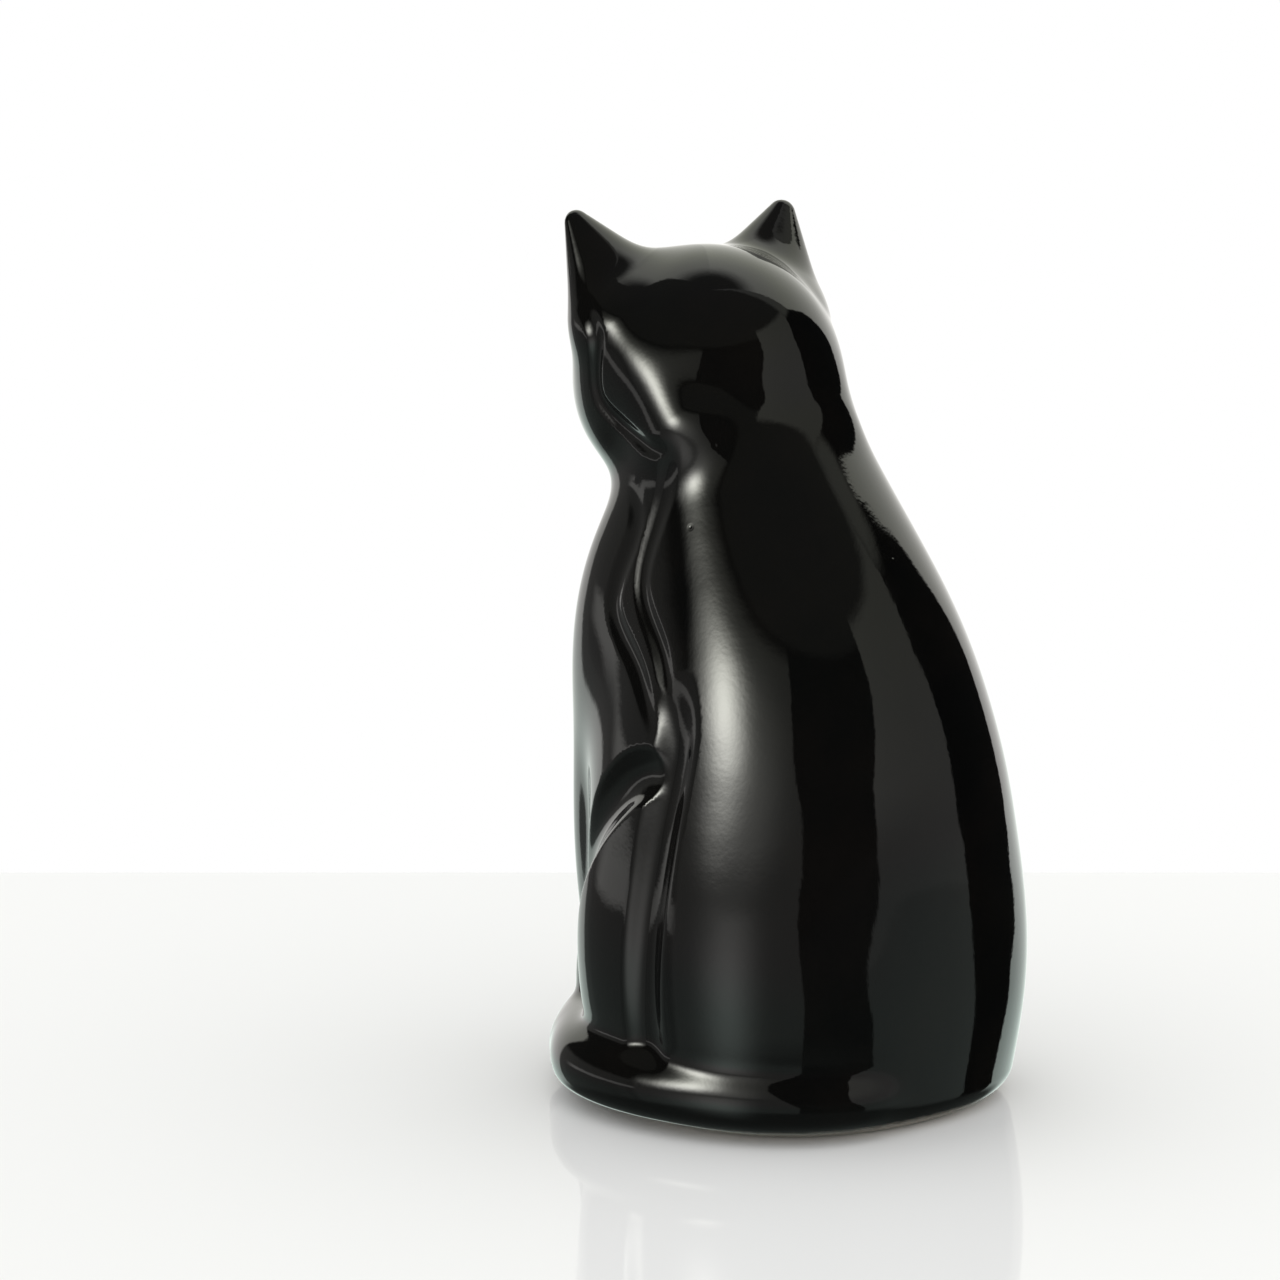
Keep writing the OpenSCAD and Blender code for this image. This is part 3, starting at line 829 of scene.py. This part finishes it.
for k, nd in enumerate(("pad_front_left", "pad_front_right", "pad_rear_left", "pad_rear_right")):
    felt_disc("felt_" + nd[4:], nd, 11 + k)

# ---------------------------------------------------------------- stage, light and camera
CAM_AZ = 138.0         # degrees round from the front
CAM_UP = 10.3          # degrees above the level
CAM_AWAY = 1.6         # metres
LENS, SENSOR = 147.7, 36               # mm
AIM_SIDE, AIM_Z = -0.043, 0.1393       # metres from the figure's middle to the point looked at: sideways, up
OPENING_MARGIN = 1.5   # the table's opening ends this far inside the slab's edge
TABLE_NEAR, TABLE_FAR, TABLE_HALF = 3000, 290, 3000    # mm from the figure's middle to the table's edges


def direction(az, el):
    """unit vector at az degrees (camera's own azimuth is 0, plus is to its right) and el degrees up"""
    a, e = math.radians(CAM_AZ + az), math.radians(el)
    return np.array([math.sin(a) * math.cos(e), -math.cos(a) * math.cos(e), math.sin(e)])


def table_top(name, near, far, half):
    """a flat top with an opening under the figure, just inside the slab's edge, that shows it from below"""
    f, r = direction(0, 0)[:2], direction(90, 0)[:2]
    c = SHIFT[:2] + (0, SEAT_Y)
    corners = [f * u + r * v for u, v in ((near, -half), (near, half), (-far, half), (-far, -half))]
    ang = np.sort(np.concatenate([np.arange(96) / 96 * 2 * math.pi - 3.14,
                                  [math.atan2(*(k - c)[::-1]) for k in corners]]))
    d = np.column_stack([np.cos(ang), np.sin(ang)])
    reach = np.full(len(ang), 1e9)
    for n, limit in ((f, near), (-f, far), (r, half), (-r, half)):
        s = d @ n
        reach = np.where(s > 1e-6, np.minimum(reach, (limit - c @ n) / np.maximum(s, 1e-6)), reach)
    inner = c + d * (np.interp(ang, SEAT_ANGLES, SEAT) - OPENING_MARGIN)[:, None]
    outer = c + d * reach[:, None]
    n = len(ang)
    pts = np.column_stack([np.vstack([inner, outer]), np.zeros(2 * n)])
    ob = mesh_object(name, pts, np.array([[i, n + i, n + (i + 1) % n, (i + 1) % n] for i in range(n)]))
    return ob


def table_paint():
    """matt white with a faint gloss"""
    m, nt, b = new_mat("table_white")
    nt.nodes.remove(b)
    matt = node(nt, "BsdfDiffuse", in_Color=(0.95, 0.955, 0.945, 1))
    gloss = node(nt, "BsdfAnisotropic", in_Color=(1, 1, 1, 1), in_Roughness=0.03)
    both_ways = node(nt, "MixShader", in_0=0.11)
    nt.links.new(matt.outputs[0], both_ways.inputs[1])
    nt.links.new(gloss.outputs[0], both_ways.inputs[2])
    nt.links.new(both_ways.outputs[0], nt.nodes["Material Output"].inputs[0])
    return m


floor = table_top("table", TABLE_NEAR, TABLE_FAR, TABLE_HALF)
floor.data.materials.append(table_paint())
floor.visible_glossy = False           # so the glaze doesn't mirror it

world = bpy.data.worlds.new("studio")
bpy.context.scene.world = world
world.use_nodes = True
wt = world.node_tree
for n in list(wt.nodes):
    wt.nodes.remove(n)
W = wt.links.new


def wmath(op, a, b=None, c=None):
    n = wt.nodes.new("ShaderNodeMath")
    n.operation = op
    for i, v in enumerate((a, b, c)):
        if v is None:
            continue
        if isinstance(v, (int, float)):
            n.inputs[i].default_value = v
        else:
            W(v, n.inputs[i])
    return n.outputs[0]


def wdot(vec):
    n = wt.nodes.new("ShaderNodeVectorMath")
    n.operation = "DOT_PRODUCT"
    W(gen, n.inputs[0])
    n.inputs[1].default_value = tuple(vec)
    return n.outputs["Value"]


def step_up(v, at, soft):
    n = wt.nodes.new("ShaderNodeMapRange")
    n.interpolation_type = "SMOOTHSTEP"
    W(v, n.inputs["Value"])
    n.inputs["From Min"].default_value = at - soft
    n.inputs["From Max"].default_value = at + soft
    return n.outputs[0]


def edge(pts):
    """an azimuth that varies with elevation: pts are (elevation, azimuth)"""
    n = wt.nodes.new("ShaderNodeFloatCurve")
    W(wmath("DIVIDE", wmath("ADD", EL, 90.0), 180.0), n.inputs["Value"])
    c = n.mapping.curves[0]
    while len(c.points) < len(pts):
        c.points.new(0.5, 0.5)
    for p, (e, a) in zip(c.points, pts):
        p.location = ((e + 90) / 180, (a + 180) / 360)
        p.handle_type = "VECTOR"
    n.mapping.update()
    return wmath("SUBTRACT", wmath("MULTIPLY", n.outputs[0], 360.0), 180.0)


def past(limit, soft):
    """1 to the right of a limit, which is an azimuth or an edge curve"""
    if isinstance(limit, (int, float)):
        return step_up(AZ, limit, soft)
    return step_up(wmath("SUBTRACT", AZ, limit), 0.0, soft)


def above(elevation, soft):
    return step_up(EL, elevation, soft)


def inv(m):
    return wmath("SUBTRACT", 1.0, m)


def both(*m):
    """masks multiplied together"""
    out = m[0]
    for k in m[1:]:
        out = wmath("MULTIPLY", out, k)
    return out


def blob(az, el, saz, sel):
    """a soft round spot: its middle, and its spread each way, in degrees"""
    x = wmath("DIVIDE", wmath("SUBTRACT", AZ, az), saz)
    y = wmath("DIVIDE", wmath("SUBTRACT", EL, el), sel)
    r2 = wmath("ADD", wmath("MULTIPLY", x, x), wmath("MULTIPLY", y, y))
    return wmath("EXPONENT", wmath("MULTIPLY", r2, -0.5))


def over(base, mask, level):
    """base where mask is 0, level where it is 1"""
    return wmath("ADD", wmath("MULTIPLY", inv(mask), base), wmath("MULTIPLY", mask, level))


tc = wt.nodes.new("ShaderNodeTexCoord")
gen = tc.outputs["Generated"]
AZ = wmath("MULTIPLY", wmath("ARCTAN2", wdot(direction(90, 0)), wdot(direction(0, 0))), 180 / math.pi)
EL = wmath("MULTIPLY", wmath("ARCSINE", wdot((0, 0, 1))), 180 / math.pi)
# what the glaze mirrors: a dim room, one softbox to the left, a grey and a black board, a white backdrop. The
# edges were measured from the reflections in the photograph.
centre = edge([(-90, 12), (-14, 12), (1, 4), (20, -10), (90, -12)])
board = edge([(-90, 62), (-20, 60), (-4, 46), (11, 44), (26, 52), (90, 54)])
black = edge([(-90, 105), (-20, 103), (-4, 92), (26, 92), (38, 100), (90, 100)])
wall = edge([(-90, 128), (-14, 126), (-9, 140), (6, 140), (26, 126), (38, 112), (90, 108)])
BOX_LEFT, BACK_LEFT = -78.0, -138.0    # left ends of the softbox and of the grey band beside it
BOARD_TOP, WALL_TOP = 38.0, 66.0
# the room, a little brighter high up, and low down beside the grey board
v = wmath("ADD", 0.035, wmath("MULTIPLY", above(BOARD_TOP, 1.5), 0.055))
v = over(v, both(past(8.0, 2), inv(past(board, 1)), inv(above(-3.0, 2))), 0.05)
# the softbox's screen, and the grey things to its left
left = both(past(BOX_LEFT, 4), inv(past(centre, 0.8)), inv(above(35.0, 3.0)))
v = over(v, left, 0.26)
v = over(v, both(inv(past(BOX_LEFT, 4)), past(BACK_LEFT, 2), inv(above(13.0, 3.0))), 0.20)
v = over(v, both(inv(past(-86.0, 3)), past(-128.0, 2), inv(above(-4.0, 1.0))), 0.17)
# the grey board, brighter upwards and to the left
lift = wmath("MULTIPLY", above(3.0, 8.0), wmath("MULTIPLY", wmath("SUBTRACT", 100.0, AZ), 0.0035))
grey = wmath("ADD", 0.30, wmath("MULTIPLY", above(-12.0, 0.6), wmath("ADD", 0.06, lift)))
v = over(v, both(past(board, 0.8), inv(past(black, 0.6)), inv(above(43.0, 2))), grey)
# the black board, and the paler room over it
v = over(v, both(past(black, 0.6), inv(past(wall, 0.8)), inv(above(BOARD_TOP, 2.0))), 0.012)
v = over(v, both(past(black, 3), inv(past(wall, 3)), above(BOARD_TOP, 2.0)), 0.35)
# the white backdrop, round to the far left, a thin pale strip at the horizon there, and the dark ground
v = over(v, both(past(wall, 0.8), inv(above(WALL_TOP, 8.0))), 1.25)
v = over(v, both(inv(past(BACK_LEFT, 2)), inv(above(WALL_TOP, 8.0))), 1.1)
v = over(v, both(inv(past(-76.0, 2)), past(-122.0, 6), above(-4.0, 1.0), inv(above(0.0, 1.0))), 0.8)
v = over(v, inv(above(-27.0, 5.0)), 0.09)
# the softbox's bright middle, a second glow low down, and its small bright lamp
v = wmath("ADD", v, both(left, above(6.0, 3.0), wmath("MULTIPLY", blob(-40, 14, 14, 9), 0.9)))
v = wmath("ADD", v, both(left, inv(above(4.0, 4.0)), wmath("MULTIPLY", blob(-41, -12, 11, 15), 0.95)))
v = wmath("ADD", v, both(left, wmath("MULTIPLY", blob(-56, 18, 8, 4.6), 15.0)))
# only glossy rays see all this; every other ray sees an even white
lpw = wt.nodes.new("ShaderNodeLightPath")
v = over(1.0, lpw.outputs["Is Glossy Ray"], v)
tint = ramp(wt, wmath("DIVIDE", wmath("ADD", EL, 90.0), 180.0),
            [(0.40, (0.86, 1.0, 0.93)), (0.47, (1.0, 0.985, 0.955)), (0.72, (0.98, 1.0, 0.86)), (1.0, 1.0)])
mixc = wt.nodes.new("ShaderNodeMix")
mixc.data_type = "RGBA"
W(lpw.outputs["Is Glossy Ray"], mixc.inputs[0])
mixc.inputs[6].default_value = (1, 1, 1, 1)
W(tint.outputs[0], mixc.inputs[7])
bg = wt.nodes.new("ShaderNodeBackground")
W(mixc.outputs[2], bg.inputs[0])
W(v, bg.inputs[1])
wo = wt.nodes.new("ShaderNodeOutputWorld")
W(bg.outputs[0], wo.inputs[0])

cam_data = bpy.data.cameras.new("camera")
cam = link(bpy.data.objects.new("camera", cam_data))
cam_data.lens = LENS
cam_data.sensor_width = SENSOR
cam_data.clip_start = 0.01
cam_data.clip_end = 50
az = math.radians(CAM_AZ)
target = Vector((math.cos(az) * AIM_SIDE, math.sin(az) * AIM_SIDE, AIM_Z)) + Vector((SHIFT * MM).tolist())
back = Vector(direction(0, CAM_UP))
right = Vector((math.cos(az), math.sin(az), 0))
up = back.cross(right)
rot = Matrix((right, up, back)).transposed()
cam.matrix_world = Matrix.Translation(target + back * CAM_AWAY) @ rot.to_4x4()
bpy.context.scene.camera = cam
bpy.context.scene.view_settings.view_transform = "Standard"
